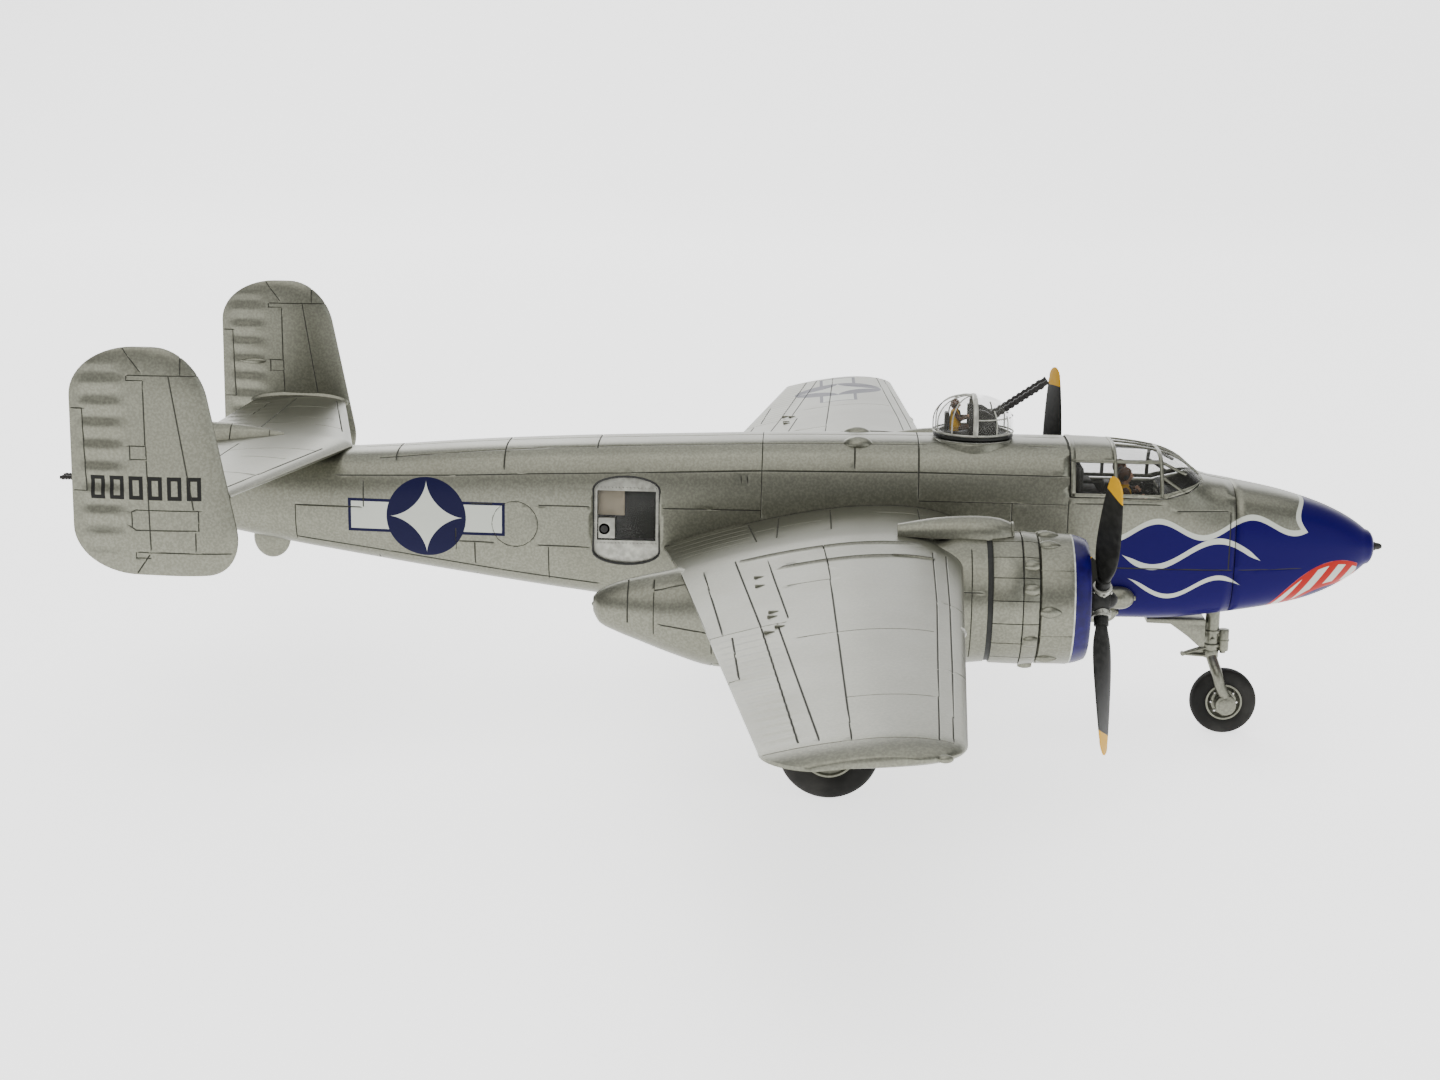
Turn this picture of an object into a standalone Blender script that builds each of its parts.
"""Die-cast display model of a twin-engined propeller bomber, at 1:72.

+X is forward, +Y is the port side, +Z is up. The origin is on the ground, under the middle of the model.
Sizes below are in millimetres, and finish() scales each piece to metres.
A station is the distance aft of the tip of the nose cap.
"""

import math

import bmesh
import bpy
from mathutils import Matrix, Vector

MM = 0.001

# Fits
GAP = 0.3  # between two castings
RUNNING_GAP = 0.15  # between a pin and what turns on it
PRESS_GAP = 0.02  # between a pin and what holds it

# Overall
OVERALL_LENGTH = 225.2
WING_SPAN = 290.0
NOSE_GUN = {"reach": 1.4, "radius": 0.7}
TAIL_GUN = {"reach": 8.0, "radius": 0.42, "apart": 2.1, "z": 40.2, "yoke_width": 3.2, "yoke_height": 1.2}

# Fuselage
HALF_WIDTH = 9.9
KEEL_Z = 20.5
SPINE_Z = 50.6
SKIN = 1.2  # wall of the fuselage halves
NOSE_JOINT = 24.7
NOSE_SPIGOT = 4.0
DOWEL = {"radius": 0.9, "post": 2.0, "reach": 4.0}
COCKPIT = {"front": 30.2, "rear": 52.6, "sill_z": 42.3, "wall": 0.9, "depth": 6.5, "tub_wall": 1.2}
WINDOW = {"station": 125.7, "length": 11.4, "low_z": 29.0, "high_z": 44.4, "arch": 2.4, "wall": 0.8}
CREW = {"height": 9.6, "apart": 7.8, "aft": 12.6, "half_width": 2.0}
GUN_PODS = ({"station": 41.0, "z": 25.6, "length": 13.0}, {"station": 43.6, "z": 22.9, "length": 12.0})
GUN_POD_RADIUS = 1.9

# Turret, whose heights are above the spine
TURRET = {"station": 68.2, "rim": 0.2, "seat": -1.0, "radius": 6.7, "height": 6.0, "wall": 0.6}
TURRET_FLANGE, TURRET_COLLAR = 0.5, 7.4
SPIGOT = {"radius": 5.0, "depth": 5.2, "neck": 1.0, "neck_height": 1.6}
CLIP = {"lip": 0.8, "height": 1.3}
GUNS = {"forward": 1.2, "up": 2.1, "apart": 3.4, "radius": 0.55, "length": 13.2}
GUN_RECEIVER, GUN_PIN = 0.95, 0.7
GUN_REST, GUN_LOWEST, GUN_HIGHEST = 34.5, 6.0, 68.0

# Wing, at its root, at the engine and where the rounded tip begins
WING_ROOT = {"lead": 69.8, "trail": 119.5, "lead_z": 36.3, "trail_z": 32.2, "thick": 0.175}
WING_MID = {"lead": 71.9, "trail": 115.2, "lead_z": 38.6, "trail_z": 35.4, "thick": 0.165}
WING_END = {"lead": 77.2, "trail": 101.0, "lead_z": 38.6, "trail_z": 37.2, "thick": 0.125}
WING_TIP = {"length": 6.5, "rounding": 6.5}
CAMBER = 0.018
EDGE_THICKNESS = 0.45
SPAR = {"station": 88.0, "z": 36.0, "width": 9.0, "height": 2.4, "reach": 24.0}

# Engines
ENGINE_Y, ENGINE_Z = 41.0, 32.6
COWL_RADIUS, COWL_WALL, COWL_MOUTH = 10.0, 1.0, 8.1
COWL_FRONT, COWL_REAR = 53.0, 61.0
FLAPS_REAR, FLAPS_FLARE = 64.2, 0.35
FIREWALL = 68.3
MOUNT_WALL = 2.3
NACELLE_TAIL = 128.5
ENGINE_NOSE, CRANKCASE_RADIUS, CYLINDERS = 54.6, 3.2, 7
SHAFT = {"radius": 0.9, "head": 1.9, "head_length": 1.4, "head_station": 65.2}
PROPELLER = {"station": 50.6, "radius": 24.3, "blades": 3, "chord": 5.0, "thickness": 1.2, "hub": 2.4}
PROPELLER_PHASE = {-1: 0.0, 1: 90.0}

# Tail, measured forward of the fuselage's tail end
TAILPLANE = {"z": 46.6, "lead": 42.3, "trail": 13.8, "end_lead": 31.8, "end_trail": 14.8, "thick": 0.11}
FIN_Y = 47.6
FIN = {"low_z": 34.5, "high_z": 69.4, "lead_low": 35.2, "lead_high": 28.2, "trail": 8.8, "thick": 0.10}
FIN_ROUNDING = {"height": 7.5, "lead": 6.4, "trail": 10.1}
TONGUE = {"length": 0.7, "chord": 8.0, "height": 1.0}
BUMPER = {"ahead": 28.2, "half_length": 3.2, "half_width": 1.4, "half_height": 3.6, "sink": 0.4}

# Undercarriage
NOSE_WHEEL = {"station": 23.7, "y": 0.0, "radius": 5.6, "width": 3.2, "rim": 3.0}
MAIN_WHEEL = {"station": 91.6, "y": ENGINE_Y, "radius": 8.0, "width": 4.6, "rim": 4.3}
TREAD_SHARE = 0.45  # the flat of the tread, of the tyre's width
AXLE_RADIUS, AXLE_HEAD = 0.9, 0.7
LEG_RADIUS, LEG_SLEEVE, LEG_SOCKET = 1.2, 0.5, 5.0
LEG_INSET = 2.4  # from the main wheel's inner side to the middle of its leg
FORK_INSET = 1.2  # the same, for the nose wheel's outer side
BRACE_RADIUS = 0.55
NOSE_LEG_STATION = 26.2
NOSE_DOOR = {"length": 10.0, "width": 4.4, "thickness": 1.1, "web": 3.9, "drop": 0.5}

# Sides of the round pieces
SEGMENTS = 20
SMALL_SEGMENTS = 10

NOSE_TIP_X = OVERALL_LENGTH / 2 - NOSE_GUN["reach"]
TAIL_END = OVERALL_LENGTH - NOSE_GUN["reach"] - TAIL_GUN["reach"]

# Fuselage outline: station, share of the half width, rise of the keel, drop of the spine, squareness
NOSE_ROWS = (
    (0.0, 0.10, 11.6, 16.2, 2.0),
    (1.6, 0.31, 9.6, 14.4, 2.0),
    (4.4, 0.50, 7.4, 12.4, 2.1),
    (8.0, 0.66, 5.4, 10.6, 2.3),
    (12.0, 0.78, 3.9, 9.2, 2.5),
    (17.0, 0.88, 2.8, 7.9, 2.8),
    (24.7, 0.96, 1.6, 6.5, 3.2),
    (30.0, 0.99, 0.9, 5.4, 3.4),
    (33.4, 1.0, 0.5, 2.8, 3.5),
    (37.0, 1.0, 0.3, 1.3, 3.6),
    (44.0, 1.0, 0.2, 0.3, 3.6),
    (53.0, 1.0, 0.0, 0.0, 3.6),
)
# The same, measured forward of the tail end
TAIL_ROWS = (
    (121.0, 1.0, 0.0, 0.3, 3.6),
    (97.0, 1.0, 1.0, 1.1, 3.6),
    (80.0, 0.97, 2.9, 1.8, 3.6),
    (64.0, 0.91, 5.0, 2.7, 3.4),
    (48.0, 0.82, 7.3, 3.9, 3.2),
    (31.0, 0.68, 9.9, 4.7, 3.0),
    (14.0, 0.56, 13.0, 4.7, 2.7),
    (0.0, 0.45, 16.0, 4.7, 2.4),
)
# Nacelle outline: share of the way from the firewall to the tail, then the half width,
# the depth below the engine's axis and the height above it, as shares of the cowl's radius
NACELLE_ROWS = (
    (0.0, 0.99, 0.99, 0.99),
    (0.13, 0.96, 1.07, 1.0),
    (0.33, 0.88, 1.12, 0.92),
    (0.53, 0.76, 1.17, 0.70),
    (0.69, 0.64, 1.19, 0.52),
    (0.79, 0.54, 1.02, 0.32),
    (0.875, 0.43, 0.83, 0.20),
    (0.94, 0.32, 0.68, 0.09),
    (0.985, 0.20, 0.54, -0.04),
    (1.0, 0.08, 0.38, -0.14),
)
# Carburettor scoop: distance aft of the flaps, half width, height above the cowl
SCOOP_ROWS = ((0.4, 1.9, 1.3), (2.3, 2.5, 2.0), (5.8, 2.7, 2.3), (11.8, 2.2, 1.9), (17.8, 1.2, 0.8))
# Fairing ahead of the tail gunner: distance forward of the tail end, half width, height above the tailplane
FAIRING_ROWS = ((30.8, 0.8, 2.0), (25.8, 2.2, 3.0), (18.8, 3.6, 3.6), (10.8, 4.2, 3.7))
# Tail gunner's window: distance aft of the tail end, half width, half height
TAIL_WINDOW_ROWS = ((GAP, 4.1, 4.2), (1.6, 3.5, 3.4), (2.6, 2.0, 2.0))
# Propeller blade: share of the radius, share of the chord, share of the thickness, pitch in degrees
BLADE_ROWS = (
    (0.05, 0.30, 1.0, 60),
    (0.15, 0.36, 0.90, 57),
    (0.31, 0.80, 0.55, 48),
    (0.56, 1.0, 0.38, 36),
    (0.87, 0.88, 0.24, 26),
    (0.96, 0.62, 0.20, 24),
    (1.0, 0.24, 0.16, 23),
)
# Seated figure: share of the height, half depth and half width as shares of its half width
FIGURE_ROWS = (
    (0.0, 1.0, 1.0),
    (0.35, 0.85, 1.05),
    (0.58, 0.6, 0.95),
    (0.68, 0.3, 0.35),
    (0.74, 0.35, 0.35),
    (0.86, 0.52, 0.48),
    (1.0, 0.25, 0.22),
)


def x_of(station):
    return NOSE_TIP_X - station


def fuselage_rows():
    return NOSE_ROWS + tuple((TAIL_END - row[0], *row[1:]) for row in TAIL_ROWS)


def smooth_between(rows, at):
    """The rows' columns at a station, on a smooth curve through the rows."""
    if at <= rows[0][0]:
        return rows[0][1:]
    if at >= rows[-1][0]:
        return rows[-1][1:]
    here = max(i for i in range(len(rows) - 1) if rows[i][0] <= at)
    near = [rows[max(here - 1, 0)], rows[here], rows[here + 1], rows[min(here + 2, len(rows) - 1)]]
    span = near[2][0] - near[1][0]
    t = (at - near[1][0]) / span
    found = []
    for column in range(1, len(rows[0])):
        start, end = near[1][column], near[2][column]
        slope_in = (end - near[0][column]) / (near[2][0] - near[0][0]) * span
        slope_out = (near[3][column] - start) / (near[3][0] - near[1][0]) * span
        found.append(
            start * (2 * t**3 - 3 * t**2 + 1)
            + slope_in * (t**3 - 2 * t**2 + t)
            + end * (3 * t**2 - 2 * t**3)
            + slope_out * (t**3 - t**2)
        )
    return found


def section_at(station, grow=0.0):
    """Half width, lowest z, highest z and squareness of the fuselage."""
    share, rise, drop, square = smooth_between(fuselage_rows(), station)
    half = HALF_WIDTH * share + grow
    return half, KEEL_Z + rise - grow, SPINE_Z - drop + grow, square


def section_point(station, turn, grow=0.0):
    """A point on the skin. turn is 0 at the top, pi/2 at the starboard side and pi at the keel."""
    half, low, high, square = section_at(station, grow)
    across, up = math.sin(turn), math.cos(turn)
    y = -half * math.copysign(abs(across) ** (2 / square), across)
    z = (low + high) / 2 + (high - low) / 2 * math.copysign(abs(up) ** (2 / square), up)
    return Vector((x_of(station), y, z))


def side_of_fuselage(station, z):
    """How far the skin lies from the middle at that height."""
    half, low, high, square = section_at(station)
    share = min(1.0, abs(z - (low + high) / 2) / ((high - low) / 2))
    return half * (1 - share**square) ** (1 / square)


def top_of_fuselage(station):
    return section_at(station)[2]


def bottom_of_fuselage(station):
    return section_at(station)[1]


def material(name, colour, roughness, metallic=0.0, alpha=1.0):
    made = bpy.data.materials.new(name)
    made.use_nodes = True
    shader = made.node_tree.nodes["Principled BSDF"]
    shader.inputs["Base Color"].default_value = (*colour, 1)
    shader.inputs["Roughness"].default_value = roughness
    shader.inputs["Metallic"].default_value = metallic
    shader.inputs["Alpha"].default_value = alpha
    return made


def finish(bm, name, finish_material, origin=(0, 0, 0), sheet=False):
    """Turns a bmesh in millimetres into an object whose origin is the given point."""
    bmesh.ops.remove_doubles(bm, verts=bm.verts, dist=1e-4)
    if not sheet:
        bmesh.ops.recalc_face_normals(bm, faces=bm.faces)
    bm.transform(Matrix.Scale(MM, 4) @ Matrix.Translation(-Vector(origin)))
    mesh = bpy.data.meshes.new(name)
    bm.to_mesh(mesh)
    bm.free()
    obj = bpy.data.objects.new(name, mesh)
    obj.location = Vector(origin) * MM
    mesh.materials.append(finish_material)
    mesh.shade_smooth()
    mesh.set_sharp_from_angle(angle=math.radians(35))
    bpy.context.collection.objects.link(obj)
    return obj


def loft(rings, closed=True):
    """A bmesh skin through rings of points. A closed one has its ends filled."""
    bm = bmesh.new()
    place = bm.verts.layers.int.new("place")
    count = len(rings[0])
    first = [bm.verts.new(point) for point in rings[0]]
    for number, vert in enumerate(first):
        vert[place] = number
    edges = [bm.edges.new((first[i], first[i + 1])) for i in range(count - 1)]
    if closed:
        edges.append(bm.edges.new((first[-1], first[0])))
    for ring in rings[1:]:
        made = bmesh.ops.extrude_edge_only(bm, edges=edges)["geom"]
        verts = [part for part in made if isinstance(part, bmesh.types.BMVert)]
        ends = set(verts)
        edges = [p for p in made if isinstance(p, bmesh.types.BMEdge) and set(p.verts) <= ends]
        for vert in verts:
            vert.co = ring[vert[place]]
    if closed:
        bmesh.ops.holes_fill(bm, edges=[e for e in bm.edges if e.is_boundary], sides=0)
    return bm


def turned(profile, centre, axis, segments=SEGMENTS, closed=True, start=0.0):
    """A bmesh turned about an axis through centre. The profile is (along, radius) pairs."""
    bm = bmesh.new()
    along = Vector(axis).normalized()
    side = along.orthogonal().normalized()
    if abs(along.z) < 0.5:
        side = Vector((0, 0, 1))
    side = Matrix.Rotation(start, 3, along) @ side
    verts = [bm.verts.new(Vector(centre) + along * a + side * r) for a, r in profile]
    edges = [bm.edges.new((verts[i], verts[i + 1])) for i in range(len(verts) - 1)]
    if closed:
        edges.append(bm.edges.new((verts[-1], verts[0])))
    bmesh.ops.spin(
        bm,
        geom=verts + edges,
        cent=centre,
        axis=along,
        angle=2 * math.pi,
        steps=segments,
        use_merge=True,
    )
    bmesh.ops.remove_doubles(bm, verts=bm.verts, dist=1e-4)
    return bm


def rod(start, end, radius, segments=SMALL_SEGMENTS, end_radius=None):
    """A straight round bar between two points."""
    start, end = Vector(start), Vector(end)
    bm = bmesh.new()
    turn = (end - start).to_track_quat("Z", "Y").to_matrix().to_4x4()
    bmesh.ops.create_cone(
        bm,
        cap_ends=True,
        segments=segments,
        radius1=radius,
        radius2=radius if end_radius is None else end_radius,
        depth=(end - start).length,
        matrix=Matrix.Translation((start + end) / 2) @ turn,
    )
    return bm


def block(low, high):
    """A box between two corners."""
    low, high = Vector(low), Vector(high)
    bm = bmesh.new()
    bmesh.ops.create_cube(bm, size=1)
    size = high - low
    bm.transform(Matrix.Translation((low + high) / 2) @ Matrix.Diagonal((*size, 1)))
    return bm


def side_plate(outline, y_low, y_high):
    """An outline of (x, z) points, given a thickness along Y."""
    bm = bmesh.new()
    face = bm.faces.new([bm.verts.new((x, y_low, z)) for x, z in outline])
    made = bmesh.ops.extrude_face_region(bm, geom=[face])["geom"]
    moved = [part for part in made if isinstance(part, bmesh.types.BMVert)]
    bmesh.ops.translate(bm, verts=moved, vec=(0, y_high - y_low, 0))
    return bm


def helper(bm, name):
    """A cutter or another tool, which isn't a piece of the model."""
    obj = finish(bm, name, MATERIALS["tool"])
    obj.hide_render = True
    obj.display_type = "WIRE"
    return obj


def boolean(obj, tool, operation):
    modifier = obj.modifiers.new(operation.title(), "BOOLEAN")
    modifier.object = tool
    modifier.operation = operation
    modifier.solver = "EXACT"


def cut(obj, *tools):
    for tool in tools:
        boolean(obj, tool, "DIFFERENCE")


def joined(obj, *tools):
    for tool in tools:
        boolean(obj, tool, "UNION")


def kept(obj, tool):
    boolean(obj, tool, "INTERSECT")


def thickened(obj, wall):
    modifier = obj.modifiers.new("Wall", "SOLIDIFY")
    modifier.thickness = wall * MM
    modifier.offset = -1
    modifier.use_even_offset = True


def side_name(stem, side):
    return f"{stem}_{'left' if side > 0 else 'right'}"


# Fuselage


def half_skin(side, start, end, count, reach=math.pi, grow=0.0):
    """The starboard or port half of the skin, as an open sheet facing outwards."""
    rings = []
    steps = 10
    for number in range(count + 1):
        station = start + (end - start) * number / count
        ring = [section_point(station, reach * i / steps, grow) for i in range(steps + 1)]
        for point in ring:
            point.y = -side * point.y
            if abs(point.y) < GAP / 2:
                point.y = side * GAP / 2
        rings.append(ring)
    bm = loft(rings, closed=False)
    outward = sum(face.normal.y * side for face in recalculated(bm).faces)
    if outward < 0:
        bmesh.ops.reverse_faces(bm, faces=bm.faces)
    return bm


def recalculated(bm):
    bmesh.ops.recalc_face_normals(bm, faces=bm.faces)
    bm.normal_update()
    return bm


def fuselage_solid(start, end, count, grow, name, highest=None):
    """The whole fuselage between two stations, as a closed helper, up to a height."""
    steps = 20
    rings = []
    for number in range(count + 1):
        station = start + (end - start) * number / count
        ring = [section_point(station, 2 * math.pi * i / steps, grow) for i in range(steps)]
        for point in ring:
            if highest is not None:
                point.z = min(point.z, highest)
        rings.append(ring)
    return helper(loft(rings), name)


def window_outline(shrink):
    """The waist window: straight sides, with an arched top and bottom."""
    half = WINDOW["length"] / 2 - shrink
    low, high, rise = WINDOW["low_z"] + shrink, WINDOW["high_z"] - shrink, WINDOW["arch"]
    steps = 6
    arch = []
    for number in range(steps + 1):
        turn = math.pi * number / steps
        arch.append((half * math.cos(turn), rise * math.sin(turn)))
    middle = x_of(WINDOW["station"])
    top = [(middle + x, high - rise + z) for x, z in arch]
    bottom = [(middle - x, low + rise - z) for x, z in arch]
    return top + bottom


def cockpit_outline(shrink):
    """Side view of the opening that the canopy closes."""
    front, rear = COCKPIT["front"] + shrink, COCKPIT["rear"] - shrink
    sill = COCKPIT["sill_z"] + shrink
    nose_sill = top_of_fuselage(COCKPIT["front"]) - 0.4 + shrink
    roof = SPINE_Z + 9
    return [
        (x_of(rear), roof),
        (x_of(rear), sill),
        (x_of(front + 6.2), sill),
        (x_of(front + 2.4), sill + (nose_sill - sill) * 0.45),
        (x_of(front), nose_sill),
        (x_of(front), roof),
    ]


def upright(station, low_z, high_z, radius, segments=SEGMENTS):
    """A round bar on the centre line, standing upright."""
    x = x_of(station)
    return rod((x, 0, low_z), (x, 0, high_z), radius, segments)


def make_fuselage():
    reach = HALF_WIDTH + 3
    above = SPINE_Z + 5
    station = TURRET["station"]
    seat_z = SPINE_Z + TURRET["seat"]
    cutters = [
        helper(side_plate(cockpit_outline(0), -reach, reach), "cut_cockpit"),
        helper(side_plate(window_outline(0), -reach, reach), "cut_windows"),
        helper(upright(station, seat_z, above, TURRET_COLLAR + GAP), "cut_turret_seat"),
        helper(upright(station, SPINE_Z - 8, above, SPIGOT["radius"] + GAP), "cut_turret_hole"),
        helper(spar_bar(GAP), "cut_spar"),
        helper(tailplane_bm(GAP), "cut_tailplane"),
        helper(nose_leg_socket(), "cut_nose_leg"),
    ]
    for side in (-1, 1):
        half = finish(
            half_skin(side, NOSE_JOINT + GAP, TAIL_END, 20),
            side_name("fuselage", side),
            MATERIALS["silver"],
            sheet=True,
        )
        thickened(half, SKIN)
        cut(half, *cutters)
        for name, station, z in dowel_places():
            x = x_of(station)
            outer = side_of_fuselage(station, z) - SKIN / 2
            post = rod((x, side * GAP / 2, z), (x, side * outer, z), DOWEL["post"])
            bore = rod((x, -DOWEL["reach"], z), (x, DOWEL["reach"], z), DOWEL["radius"] + RUNNING_GAP)
            joined(half, helper(post, f"post_{name}_{side}"))
            cut(half, helper(bore, f"bore_{name}_{side}"))
    for name, station, z in dowel_places():
        inset = DOWEL["reach"] - GAP
        pin = rod((x_of(station), -inset, z), (x_of(station), inset, z), DOWEL["radius"])
        finish(pin, f"fuselage_dowel_{name}", MATERIALS["steel"], (x_of(station), 0, z))


def dowel_places():
    middle = (KEEL_Z + SPINE_Z) / 2
    return (("front", SPAR["station"] - 24, middle - 4), ("rear", TAIL_END - 72, middle))


def make_nose():
    rings = []
    steps = 20
    stations = (0.0, 0.5, 1.8, 4.4, 8.0, 12.0, 17.0, NOSE_JOINT)
    for station in stations:
        rings.append([section_point(station, 2 * math.pi * i / steps) for i in range(steps)])
    cap = finish(loft(rings), "nose_cap", MATERIALS["blue"])
    spigot = []
    for station in (NOSE_JOINT - 2, NOSE_JOINT + NOSE_SPIGOT):
        inner = -(SKIN + GAP) - 0.4
        spigot.append([section_point(station, 2 * math.pi * i / steps, inner) for i in range(steps)])
    joined(cap, helper(loft(spigot), "nose_spigot"))
    cut(cap, bpy.data.objects["cut_nose_leg"])
    tip_z = (section_at(0)[1] + section_at(0)[2]) / 2
    length, radius = NOSE_GUN["reach"] - GAP, NOSE_GUN["radius"]
    profile = [
        (0.0, 0.0),
        (0.0, radius),
        (length * 0.55, radius * 0.8),
        (length, radius * 0.5),
        (length, 0.0),
    ]
    gun = turned(profile, (x_of(-GAP), 0, tip_z), (1, 0, 0), SMALL_SEGMENTS, closed=False)
    finish(gun, "nose_gun", MATERIALS["black"])


def make_waist_windows():
    for side in (-1, 1):
        start = WINDOW["station"] - WINDOW["length"] / 2 - 2
        end = WINDOW["station"] + WINDOW["length"] / 2 + 2
        pane = finish(
            half_skin(side, start, end, 6),
            side_name("waist_window", side),
            MATERIALS["clear"],
            sheet=True,
        )
        thickened(pane, WINDOW["wall"])
        reach = sorted((side * 3, side * (HALF_WIDTH + 3)))
        kept(pane, helper(side_plate(window_outline(GAP), *reach), f"keep_window_{side}"))


def make_gun_pods():
    """Two blister guns on each side, below the cockpit."""
    radius = GUN_POD_RADIUS
    for side in (-1, 1):
        pieces = []
        for pod in GUN_PODS:
            length = pod["length"]
            y = side * (side_of_fuselage(pod["station"] + length, pod["z"]) + radius * 0.45)
            profile = [
                (0.0, 0.0),
                (-0.3, radius * 0.55),
                (-1.2, radius * 0.9),
                (-2.6, radius),
                (-length + 3.0, radius * 0.9),
                (-length, radius * 0.35),
                (-length, 0.0),
            ]
            centre = (x_of(pod["station"]), y, pod["z"])
            pieces.append(turned(profile, centre, (1, 0, 0), SEGMENTS, closed=False))
        pods = finish(pieces[0], side_name("gun_pods", side), MATERIALS["silver"])
        joined(pods, helper(pieces[1], f"pod_{side}"))
        cut(pods, fuselage_solid(NOSE_JOINT + 8, NOSE_JOINT + 44, 6, GAP, f"cut_pods_{side}"))


# Cockpit


def make_cockpit():
    front, rear = COCKPIT["front"], COCKPIT["rear"]
    rings = []
    steps = 14
    reach = math.pi * 0.62
    count = 7
    for number in range(count + 1):
        station = front - 1.5 + (rear - front + 3) * number / count
        rings.append([section_point(station, reach * (2 * i / steps - 1)) for i in range(steps + 1)])
    bm = recalculated(loft(rings, closed=False))
    if sum(face.normal.z for face in bm.faces) < 0:
        bmesh.ops.reverse_faces(bm, faces=bm.faces)
    canopy = finish(bm, "cockpit_canopy", MATERIALS["clear"], sheet=True)
    thickened(canopy, COCKPIT["wall"])
    reach_y = HALF_WIDTH + 3
    kept(canopy, helper(side_plate(cockpit_outline(GAP), -reach_y, reach_y), "keep_canopy"))

    half = HALF_WIDTH - SKIN - GAP - 0.6
    sill, wall = COCKPIT["sill_z"], COCKPIT["tub_wall"]
    floor = sill - COCKPIT["depth"]
    tub = [
        (x_of(rear - 1.5), floor),
        (x_of(front + 1.5), floor),
        (x_of(front + 1.5), sill - 1.6),
        (x_of(front + 4.0), sill - 0.2),
        (x_of(front + 5.4), sill - 0.2),
        (x_of(front + 5.4), floor + wall),
        (x_of(rear - 1.5 - wall), floor + wall),
        (x_of(rear - 1.5 - wall), sill + 2.4),
        (x_of(rear - 1.5), sill + 2.4),
    ]
    finish(side_plate(tub, -half, half), "cockpit_tub", MATERIALS["black"])
    for name, side in (("pilot", 1), ("copilot", -1)):
        seat = (x_of(front + CREW["aft"]), side * CREW["apart"] / 2, floor + wall + GAP)
        make_figure(name, seat, CREW["height"])


def make_figure(name, seat, height):
    """A seated crew figure, with its seat back, standing on the point given."""
    x, y, z = seat
    size = CREW["half_width"]
    rings = [oval((x, y, z + height * share), size * deep, size * wide) for share, deep, wide in FIGURE_ROWS]
    body = finish(loft(rings), name, MATERIALS["yellow"])
    seat_back = [
        (x - size * 1.3, z),
        (x - size * 0.6, z),
        (x - size * 0.6, z + height * 0.4),
        (x - size * 1.3, z + height * 0.62),
    ]
    joined(body, helper(side_plate(seat_back, y - size * 0.9, y + size * 0.9), f"seat_{name}"))


def oval(centre, half_x, half_y, count=10):
    x, y, z = centre
    turns = [2 * math.pi * i / count for i in range(count)]
    return [Vector((x + half_x * math.cos(t), y + half_y * math.sin(t), z)) for t in turns]


# Turret


def make_turret():
    centre = Vector((x_of(TURRET["station"]), 0, SPINE_Z + TURRET["rim"]))
    seat_z = SPINE_Z + TURRET["seat"]
    low, high = seat_z - 4, centre.z - GAP
    ring = rod((centre.x, 0, low), (centre.x, 0, high), TURRET_COLLAR, SEGMENTS, TURRET_COLLAR - 0.4)
    collar = finish(ring, "turret_collar", MATERIALS["silver"])
    near = TURRET["station"] - 14, TURRET["station"] + 14
    skin = fuselage_solid(*near, 4, GAP, "cut_collar", seat_z + GAP)
    cut(collar, skin, bpy.data.objects["cut_turret_hole"])

    radius, depth = SPIGOT["radius"], SPIGOT["depth"]
    neck = radius - SPIGOT["neck"]
    shoulder = -depth + SPIGOT["neck_height"]
    base_profile = [
        (-depth, 0.0),
        (-depth, neck),
        (shoulder, neck),
        (shoulder, radius),
        (0.0, radius),
        (0.0, TURRET["radius"]),
        (TURRET_FLANGE, TURRET["radius"]),
        (TURRET_FLANGE, 0.0),
    ]
    base = turned(base_profile, centre, (0, 0, 1), closed=False)
    finish(base, "turret_base", MATERIALS["black"], centre)
    inner, outer = neck + RUNNING_GAP, radius + CLIP["lip"]
    clip_top = -depth + CLIP["height"]
    clip_profile = [(-depth, inner), (-depth, outer), (clip_top, outer), (clip_top, inner)]
    finish(turned(clip_profile, centre, (0, 0, 1)), "turret_clip", MATERIALS["steel"], centre)
    make_dome(centre)
    make_guns(centre)
    seat = centre + Vector((-2.6, 0, TURRET_FLANGE + GAP))
    make_figure("turret_gunner", seat, TURRET["height"] - 1.3)


def dome_profile(inset):
    """(height, radius) pairs from the rim up to the crown."""
    steps = 5
    radius, height = TURRET["radius"] - inset, TURRET["height"] - inset
    straight = TURRET["height"] * 0.27
    points = [(0.0, radius)]
    for number in range(steps):
        turn = math.pi / 2 * number / steps
        points.append((straight + (height - straight) * math.sin(turn), radius * math.cos(turn) ** 0.75))
    return [*points, (height, 0.0)]


def make_dome(centre):
    rim = centre + Vector((0, 0, TURRET_FLANGE + RUNNING_GAP))
    profile = dome_profile(0.0) + dome_profile(TURRET["wall"])[::-1]
    dome = finish(turned(profile, rim, (0, 0, 1)), "turret_dome", MATERIALS["clear"], centre)
    half = GUNS["radius"] + GAP + 0.1
    for side in (-1, 1):
        middle = side * GUNS["apart"] / 2
        cut(dome, helper(side_plate(gun_sweep(centre), middle - half, middle + half), f"cut_gun_slot_{side}"))


def gun_pivot(centre):
    return Vector((centre.x + GUNS["forward"], 0, centre.z + GUNS["up"]))


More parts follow.
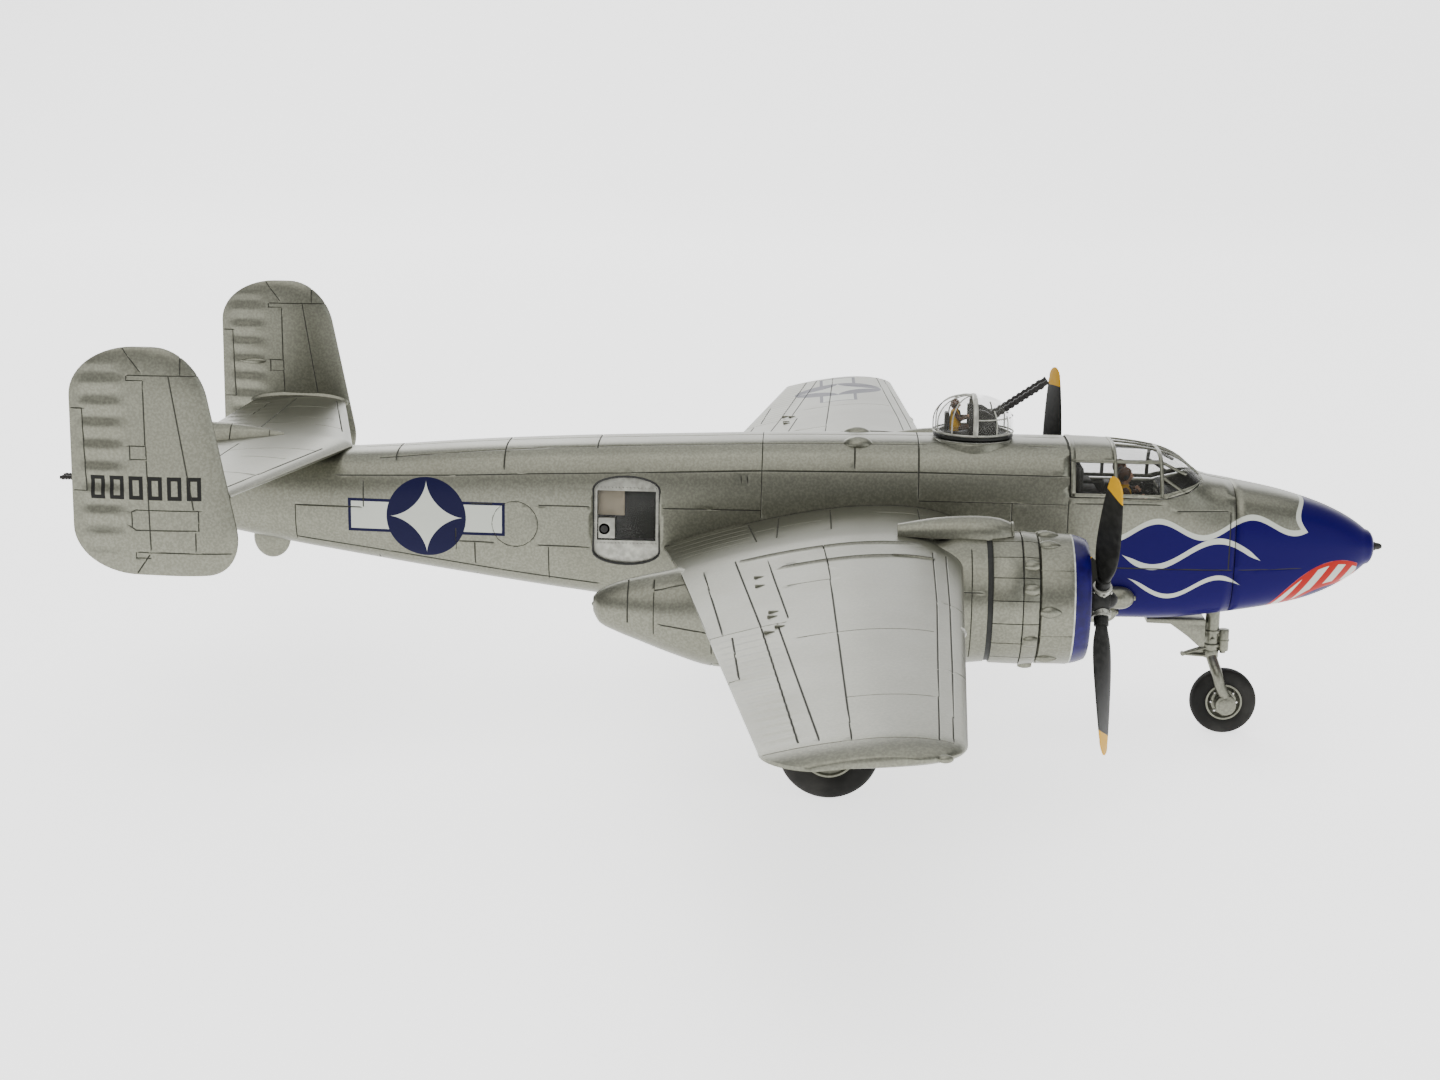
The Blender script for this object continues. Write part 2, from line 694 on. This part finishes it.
def gun_sweep(centre):
    """Side view of what a barrel sweeps between its limits, with clearance."""
    pivot = gun_pivot(centre)
    clearance = GUN_RECEIVER + GAP
    reach = GUNS["length"]
    steps = 7
    low, high = math.radians(GUN_LOWEST), math.radians(GUN_HIGHEST)
    outline = []
    for number in range(steps + 1):
        angle = low + (high - low) * number / steps
        outline.append((pivot.x + reach * math.cos(angle), pivot.z + reach * math.sin(angle)))
    below = Vector((math.sin(low), -math.cos(low))) * clearance
    above = Vector((-math.sin(high), math.cos(high))) * clearance
    start, end = Vector(outline[0]) + below, Vector(outline[-1]) + above
    middle = Vector((pivot.x, pivot.z))
    return [middle + below, start, *outline, end, middle + above]


def make_guns(centre):
    """Both guns on one cross pin, modelled level and then raised to the rest angle."""
    pivot = gun_pivot(centre)
    turn = Matrix.Rotation(-math.radians(GUN_REST), 4, "Y")
    tilt = Matrix.Translation(pivot) @ turn @ Matrix.Translation(-pivot)
    half = Vector((0, GUNS["apart"] / 2 + GUN_RECEIVER + 0.25, 0))
    pin = rod(pivot - half, pivot + half, GUN_PIN)
    pin.transform(tilt)
    guns = finish(pin, "turret_guns", MATERIALS["black"], pivot)
    radius, length = GUNS["radius"], GUNS["length"]
    profile = [
        (-1.0, 0.0),
        (-1.0, GUN_RECEIVER),
        (1.6, GUN_RECEIVER),
        (1.9, radius),
        (length - 1.0, radius),
        (length - 0.8, radius * 0.8),
        (length, radius * 0.8),
        (length, 0.0),
    ]
    for side in (-1, 1):
        offset = Vector((0, side * GUNS["apart"] / 2, 0))
        barrel = turned(profile, pivot + offset, (1, 0, 0), SMALL_SEGMENTS, closed=False)
        barrel.transform(tilt)
        joined(guns, helper(barrel, f"barrel_{side}"))


# Wing


def wing_ends():
    """Where a wing panel starts and where its rounded tip begins."""
    return HALF_WIDTH + GAP, WING_SPAN / 2 - WING_TIP["length"]


def wing_measures(y):
    """Leading and trailing edge stations, their heights and the thickness share at a distance out."""
    root, end = wing_ends()
    inner = y < ENGINE_Y
    near, far = (WING_ROOT, WING_MID) if inner else (WING_MID, WING_END)
    start, stop = (root, ENGINE_Y) if inner else (ENGINE_Y, end)
    share = min(1.0, (y - start) / (stop - start))
    found = {key: near[key] + (far[key] - near[key]) * share for key in near}
    if y > end:
        inset = 1 - math.sqrt(max(0.0, 1 - ((y - end) / WING_TIP["length"]) ** 2))
        found["lead"] += inset * WING_TIP["rounding"]
        found["trail"] -= inset * WING_TIP["rounding"]
        found["thick"] *= 1 - 0.55 * inset
    return found


def airfoil(share, thick, camber):
    """Half thickness and camber height at a share of the chord, as shares of the chord."""
    x = share
    half = 5 * thick * (0.2969 * math.sqrt(x) - 0.126 * x - 0.3516 * x**2 + 0.2843 * x**3 - 0.1036 * x**4)
    return half, 4 * camber * x * (1 - x)


def airfoil_points(lead, trail, thick, camber=0.0, grow=0.0, steps=9):
    """(station, height) pairs from the trailing edge over the top, round the nose and back."""
    chord = trail - lead
    top, bottom = [], []
    for number in range(steps + 1):
        share = (1 - math.cos(math.pi * number / steps)) / 2
        half, rise = airfoil(share, thick, camber)
        half = half * chord + EDGE_THICKNESS / 2 * min(1.0, share * 2.5) + grow
        station = lead - grow + share * (chord + 2 * grow)
        top.append((station, rise * chord + half))
        bottom.append((station, rise * chord - half))
    return top[::-1] + bottom[1:]


def wing_ring(y, side, grow=0.0):
    found = wing_measures(y)
    lead, trail = found["lead"], found["trail"]
    ring = []
    for station, height in airfoil_points(lead, trail, found["thick"], CAMBER, grow):
        share = (station - lead) / (trail - lead)
        z = found["lead_z"] + (found["trail_z"] - found["lead_z"]) * share + height
        ring.append(Vector((x_of(station), side * y, z)))
    return ring


def wing_stations():
    root, end = wing_ends()
    outer = [ENGINE_Y + (end - ENGINE_Y) * i / 3 for i in range(4)]
    tip = [end + WING_TIP["length"] * share for share in (0.45, 0.75, 0.93, 1.0)]
    return [root, (root + ENGINE_Y) / 2, *outer, *tip]


def spar_bar(grow):
    reach = HALF_WIDTH + SPAR["reach"] + grow
    x = x_of(SPAR["station"])
    half, rise = SPAR["width"] / 2 + grow, SPAR["height"] / 2 + grow
    return block((x - half, -reach, SPAR["z"] - rise), (x + half, reach, SPAR["z"] + rise))


def make_wings():
    finish(spar_bar(0), "wing_spar", MATERIALS["steel"], (x_of(SPAR["station"]), 0, SPAR["z"]))
    pocket = bpy.data.objects["cut_spar"]
    for side in (-1, 1):
        wing = finish(
            loft([wing_ring(y, side) for y in wing_stations()]), side_name("wing", side), MATERIALS["silver"]
        )
        cut(wing, pocket)


# Engines


def nacelle_ring(share, side):
    half, depth, height = (size * COWL_RADIUS for size in smooth_between(NACELLE_ROWS, share))
    x = x_of(FIREWALL + GAP + (NACELLE_TAIL - FIREWALL - GAP) * share)
    steps = 18
    ring = []
    for number in range(steps):
        turn = 2 * math.pi * number / steps
        y = side * ENGINE_Y + half * math.sin(turn)
        z = ENGINE_Z + (height - depth) / 2 + (height + depth) / 2 * math.cos(turn)
        ring.append(Vector((x, y, z)))
    return ring


def nacelle_bottom(station, y):
    """The height of the nacelle's underside at a distance out from the centre line."""
    share = (station - FIREWALL - GAP) / (NACELLE_TAIL - FIREWALL - GAP)
    half, depth, height = (size * COWL_RADIUS for size in smooth_between(NACELLE_ROWS, share))
    across = min(1.0, abs(y - ENGINE_Y) / half)
    return ENGINE_Z + (height - depth) / 2 - (height + depth) / 2 * math.sqrt(1 - across**2)


def wing_clearance(side):
    """What the nacelle leaves free: the wing, with a gap below it, and the space over it."""
    rings = []
    reach = COWL_RADIUS + 3
    roof = SPINE_Z
    for y in (ENGINE_Y - reach, ENGINE_Y, ENGINE_Y + reach):
        ring = wing_ring(y, side, GAP)
        lower = ring[len(ring) // 2 :]
        behind = lower[-1] + Vector((-1.5, 0, 0))
        over = [Vector((behind.x, side * y, roof)), Vector((lower[0].x, side * y, roof))]
        rings.append([*lower, behind, *over])
    return helper(loft(rings), f"clear_wing_{side}")


def main_leg_y():
    return MAIN_WHEEL["y"] - MAIN_WHEEL["width"] / 2 - LEG_INSET


def make_engines():
    for side in (-1, 1):
        centre = Vector((0, side * ENGINE_Y, ENGINE_Z))
        shares = [row[0] for row in NACELLE_ROWS]
        between = [(a + b) / 2 for a, b in zip(shares[:4], shares[1:5])]
        rings = [nacelle_ring(share, side) for share in sorted(shares + between)]
        nacelle = finish(loft(rings), side_name("nacelle", side), MATERIALS["silver"])
        x, y = x_of(MAIN_WHEEL["station"]), main_leg_y()
        low_z = nacelle_bottom(MAIN_WHEEL["station"], y)
        start, end = (x, side * y, low_z - 4), (x, side * y, low_z + LEG_SOCKET + GAP)
        socket = helper(rod(start, end, LEG_RADIUS + RUNNING_GAP), f"cut_main_leg_{side}")
        cut(nacelle, wing_clearance(side), socket)
        make_scoop(side)
        make_cowl(centre, side)
        make_engine(centre, side)
        make_propeller(centre, side)


def make_scoop(side):
    rings = []
    steps = 8
    low_z = ENGINE_Z + COWL_RADIUS + GAP
    for aft, half, rise in SCOOP_ROWS:
        ring = []
        for number in range(steps + 1):
            turn = math.pi * number / steps
            y = side * ENGINE_Y + half * math.cos(turn)
            ring.append(Vector((x_of(FLAPS_REAR + aft), y, low_z + rise * math.sin(turn) ** 0.7)))
        rings.append(ring)
    scoop = finish(loft(rings), side_name("carburettor_scoop", side), MATERIALS["silver"])
    near = [wing_ring(ENGINE_Y + step, side, GAP) for step in (-6, 0, 6)]
    cut(scoop, helper(loft(near), f"cut_scoop_{side}"))


def make_cowl(centre, side):
    inner = COWL_RADIUS - COWL_WALL
    cowl = [
        (COWL_FRONT, COWL_MOUTH),
        (COWL_FRONT + 0.1, COWL_MOUTH + 0.5),
        (COWL_FRONT + 1.2, COWL_RADIUS - 0.6),
        (COWL_FRONT + 2.8, COWL_RADIUS - 0.15),
        (COWL_FRONT + 5.0, COWL_RADIUS),
        (COWL_REAR - GAP, COWL_RADIUS),
        (COWL_REAR - GAP, inner),
        (COWL_FRONT + 2.8, inner),
        (COWL_FRONT + 0.8, COWL_MOUTH + 0.2),
    ]
    flaps = [
        (COWL_REAR, COWL_RADIUS - 0.1),
        (FLAPS_REAR, COWL_RADIUS + FLAPS_FLARE),
        (FLAPS_REAR, inner + 0.2),
        (COWL_REAR, inner),
    ]
    mount = [
        (FLAPS_REAR + GAP, COWL_RADIUS - 0.1),
        (FIREWALL - 0.1, COWL_RADIUS - 0.1),
        (FIREWALL - 0.1, COWL_RADIUS - MOUNT_WALL),
        (FLAPS_REAR + GAP, COWL_RADIUS - MOUNT_WALL),
    ]
    for stem, profile in (("cowling", cowl), ("cowl_flaps", flaps), ("engine_mount", mount)):
        along = [(x_of(station), radius) for station, radius in profile]
        finish(turned(along, centre, (1, 0, 0)), side_name(stem, side), MATERIALS["silver"])


def make_engine(centre, side):
    """Two rows of cylinders round a crankcase, bored for the propeller shaft."""
    reach = COWL_RADIUS - COWL_WALL - 0.5
    rear = COWL_RADIUS * 0.6
    bore = SHAFT["radius"] + RUNNING_GAP
    case = CRANKCASE_RADIUS
    points = CYLINDERS * 4

    def ring(aft, low, high, phase=0.0):
        made = []
        for number in range(points):
            turn = 2 * math.pi * number / points
            lobe = max(0.0, math.cos(CYLINDERS * (turn - phase)))
            radius = low + (high - low) * math.sqrt(lobe)
            around = Vector((0, radius * math.sin(turn), radius * math.cos(turn)))
            made.append(Vector((x_of(ENGINE_NOSE + aft), 0, 0)) + centre + around)
        return made

    half_turn = math.pi / CYLINDERS
    rings = [
        ring(0.0, bore + 0.5, bore + 0.5),
        ring(0.8, case - 0.8, case - 0.8),
        ring(3.0, case, case),
        ring(3.2, case, reach),
        ring(5.6, case, reach),
        ring(5.8, case, reach, half_turn),
        ring(8.2, case, reach, half_turn),
        ring(8.4, rear, rear),
        ring(FIREWALL - GAP - ENGINE_NOSE, rear, rear),
    ]
    engine = finish(loft(rings), side_name("engine", side), MATERIALS["dark"])
    front, step, end = x_of(ENGINE_NOSE - 1), x_of(SHAFT["head_station"] - GAP), x_of(FIREWALL + 1)
    wide = SHAFT["head"] + RUNNING_GAP
    bored = [(front, 0.0), (front, bore), (step, bore), (step, wide), (end, wide), (end, 0.0)]
    bore_bm = turned(bored, centre, (1, 0, 0), SMALL_SEGMENTS, closed=False)
    cut(engine, helper(bore_bm, f"cut_bore_{side}"))


def make_propeller(centre, side):
    hub_at = centre + Vector((x_of(PROPELLER["station"]), 0, 0))
    radius, head = SHAFT["radius"], SHAFT["head"]
    front = x_of(PROPELLER["station"] + 1.0)
    step, end = x_of(SHAFT["head_station"]), x_of(SHAFT["head_station"] + SHAFT["head_length"])
    along = [(front, 0.0), (front, radius), (step, radius), (step, head), (end, head), (end, 0.0)]
    shaft = turned(along, centre, (1, 0, 0), SMALL_SEGMENTS, closed=False)
    finish(shaft, side_name("propeller_shaft", side), MATERIALS["steel"], hub_at)
    hub, socket = PROPELLER["hub"], radius + PRESS_GAP
    hub_profile = [
        (2.6, 0.0),
        (2.5, hub * 0.35),
        (1.9, hub * 0.55),
        (1.2, hub * 0.6),
        (1.1, hub * 0.9),
        (-1.1, hub),
        (-2.2, hub * 0.8),
        (-2.2, socket),
        (-0.9, socket),
        (-0.9, 0.0),
    ]
    propeller = finish(
        turned(hub_profile, hub_at, (1, 0, 0), SMALL_SEGMENTS, closed=False),
        side_name("propeller", side),
        MATERIALS["black"],
        hub_at,
    )
    for number in range(PROPELLER["blades"]):
        blade = loft(blade_rings())
        angle = math.radians(PROPELLER_PHASE[side]) + 2 * math.pi * number / PROPELLER["blades"]
        blade.transform(Matrix.Translation(hub_at) @ Matrix.Rotation(angle, 4, "X"))
        joined(propeller, helper(blade, f"blade_{number}_{side}"))


def blade_rings():
    """A twisted blade along +Y, from inside the hub to the rounded tip."""
    rings = []
    steps = 6
    for out, chord_share, thick_share, pitch in BLADE_ROWS:
        half = PROPELLER["chord"] / 2 * chord_share
        thick = PROPELLER["thickness"] * 0.8 * thick_share
        turn = math.radians(pitch)
        ring = []
        for number in range(steps):
            around = 2 * math.pi * number / steps
            along, across = half * math.cos(around), thick * math.sin(around)
            x = along * math.sin(turn) + across * math.cos(turn)
            z = along * math.cos(turn) - across * math.sin(turn)
            ring.append(Vector((x, PROPELLER["radius"] * out, z)))
        rings.append(ring)
    return rings


# Tail


def tailplane_edges(y):
    share = min(1.0, abs(y) / FIN_Y)
    lead = TAILPLANE["lead"] + (TAILPLANE["end_lead"] - TAILPLANE["lead"]) * share
    trail = TAILPLANE["trail"] + (TAILPLANE["end_trail"] - TAILPLANE["trail"]) * share
    return TAIL_END - lead, TAIL_END - trail


def tailplane_ring(y, grow=0.0):
    points = airfoil_points(*tailplane_edges(y), TAILPLANE["thick"], 0.0, grow, 7)
    return [Vector((x_of(station), y, TAILPLANE["z"] + height)) for station, height in points]


def tailplane_end():
    """How far out the tailplane goes: up to the fins' inner sides."""
    thickness = (FIN["lead_low"] - FIN["trail"]) * FIN["thick"] + EDGE_THICKNESS
    return FIN_Y - thickness / 2 - GAP


def tailplane_bm(grow):
    end = tailplane_end()
    return loft([tailplane_ring(y, grow) for y in (-end, -end / 2, 0, end / 2, end)])


def tongue(side, grow):
    """The tab on the tailplane's end that goes into the fin."""
    end = tailplane_end()
    x = x_of(sum(tailplane_edges(end)) / 2)
    half, rise = TONGUE["chord"] / 2 + grow, TONGUE["height"] / 2 + grow
    y = sorted((side * (end - 2), side * (end + GAP + TONGUE["length"] + grow)))
    return block((x - half, y[0], TAILPLANE["z"] - rise), (x + half, y[1], TAILPLANE["z"] + rise))


def fin_edges(z):
    """Leading and trailing stations of the fin at a height."""
    low, high, height = FIN["low_z"], FIN["high_z"], FIN_ROUNDING["height"]
    share = (z - low) / (high - low)
    lead = TAIL_END - FIN["lead_low"] - (FIN["lead_high"] - FIN["lead_low"]) * share
    rounded = max(0.0, low + height - z, z - high + height) / height
    inset = 1 - math.sqrt(max(0.0, 1 - rounded**2))
    return lead + inset * FIN_ROUNDING["lead"], TAIL_END - FIN["trail"] - inset * FIN_ROUNDING["trail"]


def fin_bm(side):
    low, high, height = FIN["low_z"], FIN["high_z"], FIN_ROUNDING["height"]
    inside = [height * share for share in (0.0, 0.05, 0.2, 0.5, 1.0)]
    middle = [low + height + (high - low - 2 * height) * share for share in (0.33, 0.67)]
    levels = [low + rise for rise in inside] + middle + [high - rise for rise in inside[::-1]]
    rings = []
    for z in levels:
        points = airfoil_points(*fin_edges(z), FIN["thick"], 0.0, 0.0, 6)
        rings.append([Vector((x_of(station), side * FIN_Y + out, z)) for station, out in points])
    return loft(rings)


def make_tail():
    tailplane = finish(tailplane_bm(0), "tailplane", MATERIALS["silver"])
    for side in (-1, 1):
        joined(tailplane, helper(tongue(side, 0), f"tongue_{side}"))
        fin = finish(fin_bm(side), side_name("fin", side), MATERIALS["silver"])
        cut(fin, helper(tongue(side, GAP), f"cut_tongue_{side}"))
    make_tail_fairing()
    rings = []
    steps = 16
    for aft, half, rise in TAIL_WINDOW_ROWS:
        turns = [2 * math.pi * i / steps for i in range(steps)]
        x = x_of(TAIL_END + aft)
        z = tail_window_z()
        rings.append([Vector((x, half * math.sin(t), z + rise * math.cos(t))) for t in turns])
    finish(loft(rings), "tail_window", MATERIALS["clear"])
    make_tail_guns()
    make_tail_bumper()


def tail_window_z():
    _, low, high, _ = section_at(TAIL_END)
    return (low + high) / 2


def make_tail_fairing():
    rings = []
    steps = 8
    low_z = TAILPLANE["z"] - 3
    for ahead, half, rise in FAIRING_ROWS:
        ring = []
        for number in range(steps + 1):
            turn = math.pi * number / steps
            z = low_z + (rise + 3) * math.sin(turn) ** 0.8
            ring.append(Vector((x_of(TAIL_END - ahead), half * math.cos(turn), z)))
        rings.append(ring)
    fairing = finish(loft(rings), "tail_fairing", MATERIALS["silver"])
    roof = helper(tailplane_bm(GAP), "cut_fairing")
    skin = fuselage_solid(TAIL_END - FAIRING_ROWS[0][0] - 4, TAIL_END, 5, GAP, "cut_fairing_skin")
    cut(fairing, roof, skin)


def make_tail_guns():
    start = TAIL_END + TAIL_WINDOW_ROWS[-1][0] + GAP
    end = TAIL_END + TAIL_GUN["reach"]
    z, half, rise = TAIL_GUN["z"], TAIL_GUN["yoke_width"] / 2, TAIL_GUN["yoke_height"] / 2
    yoke = block((x_of(start + 1.2), -half, z - rise), (x_of(start), half, z + rise))
    guns = finish(yoke, "tail_guns", MATERIALS["black"])
    for side in (-1, 1):
        y = side * TAIL_GUN["apart"] / 2
        barrel = rod((x_of(start + 0.6), y, z), (x_of(end), y, z), TAIL_GUN["radius"])
        joined(guns, helper(barrel, f"tail_barrel_{side}"))


def make_tail_bumper():
    station = TAIL_END - BUMPER["ahead"]
    steps = 6
    turns = [math.pi * number / steps for number in range(steps + 1)]
    profile = [(math.cos(turn), math.sin(turn)) for turn in turns]
    bm = turned(profile, (0, 0, 0), (1, 0, 0), SMALL_SEGMENTS, closed=False)
    size = Matrix.Diagonal((BUMPER["half_length"], BUMPER["half_width"], BUMPER["half_height"], 1))
    z = bottom_of_fuselage(station) - BUMPER["sink"]
    bm.transform(Matrix.Translation((x_of(station), 0, z)) @ size)
    bumper = finish(bm, "tail_bumper", MATERIALS["silver"])
    cut(bumper, fuselage_solid(station - 9, station + 9, 3, GAP, "cut_bumper"))


# Undercarriage


def make_wheel(stem, wheel, side, leg_gap):
    """A tyre on its hub, turning on an axle that is held in the leg, leg_gap inside the wheel."""
    centre = Vector((x_of(wheel["station"]), side * wheel["y"], wheel["radius"]))
    radius, half, rim = wheel["radius"], wheel["width"] / 2, wheel["rim"]
    crown = radius / math.cos(math.pi / SEGMENTS)  # so that a flat of the tread rests on the ground
    wall = crown - rim
    tread = half * TREAD_SHARE
    tyre = [
        (-half, rim + wall * 0.35),
        (-half * 0.85, crown - wall * 0.18),
        (-tread, crown),
        (tread, crown),
        (half * 0.85, crown - wall * 0.18),
        (half, rim + wall * 0.35),
        (half * 0.75, rim),
        (-half * 0.75, rim),
    ]
    seat = rim - RUNNING_GAP
    bore = AXLE_RADIUS + RUNNING_GAP
    boss = AXLE_RADIUS + 0.9
    hub = [
        (-half + 0.1, bore),
        (-half + 0.1, boss),
        (-half + 0.6, boss + 0.3),
        (-half + 0.4, seat),
        (half - 0.4, seat),
        (half - 0.6, boss + 0.3),
        (half - 0.1, boss),
        (half - 0.1, bore),
    ]
    offset = math.pi / SEGMENTS
    tyre_bm = turned(tyre, centre, (0, 1, 0), start=offset)
    finish(tyre_bm, f"{stem}_tyre", MATERIALS["rubber"], centre)
    finish(turned(hub, centre, (0, 1, 0), start=offset), f"{stem}_hub", MATERIALS["silver"], centre)
    inner, shoulder, outer = -side * (half + leg_gap), side * (half + 0.2), side * (half + 0.9)
    head = AXLE_RADIUS + AXLE_HEAD
    axle = [
        (inner, 0.0),
        (inner, AXLE_RADIUS),
        (shoulder, AXLE_RADIUS),
        (shoulder, head),
        (outer, head),
        (outer, 0.0),
    ]
    axle_bm = turned(axle, centre, (0, 1, 0), SMALL_SEGMENTS, closed=False)
    finish(axle_bm, f"{stem}_axle", MATERIALS["steel"], centre)
    return centre


def add_parts(obj, parts):
    for number, bm in enumerate(parts):
        joined(obj, helper(bm, f"{obj.name}_{number}"))


def cut_axle(leg, at):
    """The hole in a leg that holds the axle."""
    reach = Vector((0, 2 * LEG_INSET, 0))
    cut(leg, helper(rod(at - reach, at + reach, AXLE_RADIUS + PRESS_GAP), f"{leg.name}_bore"))


def nose_leg_socket():
    z = bottom_of_fuselage(NOSE_LEG_STATION)
    return upright(NOSE_LEG_STATION, z - 4, z + LEG_SOCKET + GAP, LEG_RADIUS + RUNNING_GAP, SMALL_SEGMENTS)


def make_nose_gear():
    centre = make_wheel("nose_wheel", NOSE_WHEEL, 1, FORK_INSET + 0.4)
    x, z = x_of(NOSE_LEG_STATION), bottom_of_fuselage(NOSE_LEG_STATION)
    knee = Vector((x, 0, 2 * NOSE_WHEEL["radius"] + 2.0))
    leg = finish(rod(knee, (x, 0, z + LEG_SOCKET), LEG_RADIUS), "nose_leg", MATERIALS["silver"], knee)
    side_y = -(NOSE_WHEEL["width"] / 2 + FORK_INSET)
    elbow = Vector((x + 0.8, side_y, knee.z - 2.6))
    hub = Vector((centre.x, side_y, centre.z))
    boss = Vector((0, 0.8, 0))
    damper_x = x + 2.0
    parts = [
        rod(knee + Vector((0, 0, 1.4)), elbow, 1.1, SMALL_SEGMENTS, 0.95),
        rod(elbow + (elbow - hub).normalized() * 0.8, hub, 0.95, SMALL_SEGMENTS, 0.85),
        rod(hub - boss, hub + boss, AXLE_RADIUS + 0.8),
        rod((damper_x, 0, knee.z + 1.2), (damper_x, 0, knee.z + 5.0), 1.0),
        block((x, -0.5, knee.z + 1.8), (damper_x, 0.5, knee.z + 3.4)),
    ]
    add_parts(leg, parts)
    cut_axle(leg, hub)
    back = x - LEG_RADIUS
    link = [(back - 0.5, knee.z + 1.6), (back - 3.6, knee.z + 0.2), (back - 0.5, knee.z + 0.1)]
    finish(side_plate(link, -0.6, 0.6), "nose_torque_link", MATERIALS["silver"])
    front, thick = back - GAP, NOSE_DOOR["thickness"]
    rear = front - NOSE_DOOR["length"]
    plate_z = min(z, bottom_of_fuselage(NOSE_TIP_X - rear)) - NOSE_DOOR["drop"]
    door = [
        (rear, plate_z),
        (rear, plate_z - thick),
        (rear + 5.9, plate_z - thick - 0.2),
        (front, plate_z - thick - NOSE_DOOR["web"]),
        (front, plate_z),
    ]
    half = NOSE_DOOR["width"] / 2
    finish(side_plate(door, -half, half), "nose_door", MATERIALS["silver"])


def make_main_gear(side):
    centre = make_wheel(side_name("main_wheel", side), MAIN_WHEEL, side, LEG_INSET + 1.0)
    x, y, z = centre.x, side * main_leg_y(), centre.z
    low_z = nacelle_bottom(MAIN_WHEEL["station"], main_leg_y() + LEG_RADIUS + LEG_SLEEVE)
    strut = rod((x, y, z - 1.2), (x, y, low_z + LEG_SOCKET), LEG_RADIUS)
    leg = finish(strut, side_name("main_leg", side), MATERIALS["silver"], (x, y, z))
    parts = [
        rod((x, y - 1.1, z), (x, y + 1.1, z), AXLE_RADIUS + 0.9),
        rod((x, y, z + 6.0), (x, y, low_z - 0.8), LEG_RADIUS + LEG_SLEEVE),
        rod((x, y, z + 9.0), (x + 7.5, y, low_z - 0.8), BRACE_RADIUS),
        rod((x, y, z + 7.0), (x - 2.6, y, z + 4.4), BRACE_RADIUS),
        rod((x, y, z + 1.2), (x - 2.6, y, z + 4.6), BRACE_RADIUS),
    ]
    add_parts(leg, parts)
    cut_axle(leg, Vector((x, y, z)))


MATERIALS = {}


def make_materials():
    MATERIALS["silver"] = material("silver", (0.62, 0.61, 0.57), 0.35, 0.7)
    MATERIALS["blue"] = material("blue", (0.03, 0.01, 0.25), 0.3)
    MATERIALS["black"] = material("black", (0.02, 0.02, 0.018), 0.5)
    MATERIALS["dark"] = material("dark", (0.12, 0.12, 0.12), 0.5, 0.5)
    MATERIALS["rubber"] = material("rubber", (0.015, 0.014, 0.012), 0.75)
    MATERIALS["steel"] = material("steel", (0.55, 0.55, 0.55), 0.3, 1.0)
    MATERIALS["yellow"] = material("yellow", (0.75, 0.5, 0.05), 0.6)
    MATERIALS["clear"] = material("clear", (0.9, 0.92, 0.9), 0.05, 0.0, 0.35)
    MATERIALS["tool"] = material("tool", (1, 0, 0), 0.5)


def main():
    for obj in list(bpy.data.objects):
        bpy.data.objects.remove(obj)
    make_materials()
    make_fuselage()
    make_nose()
    make_waist_windows()
    make_gun_pods()
    make_cockpit()
    make_turret()
    make_wings()
    make_engines()
    make_tail()
    make_nose_gear()
    for side in (-1, 1):
        make_main_gear(side)


main()
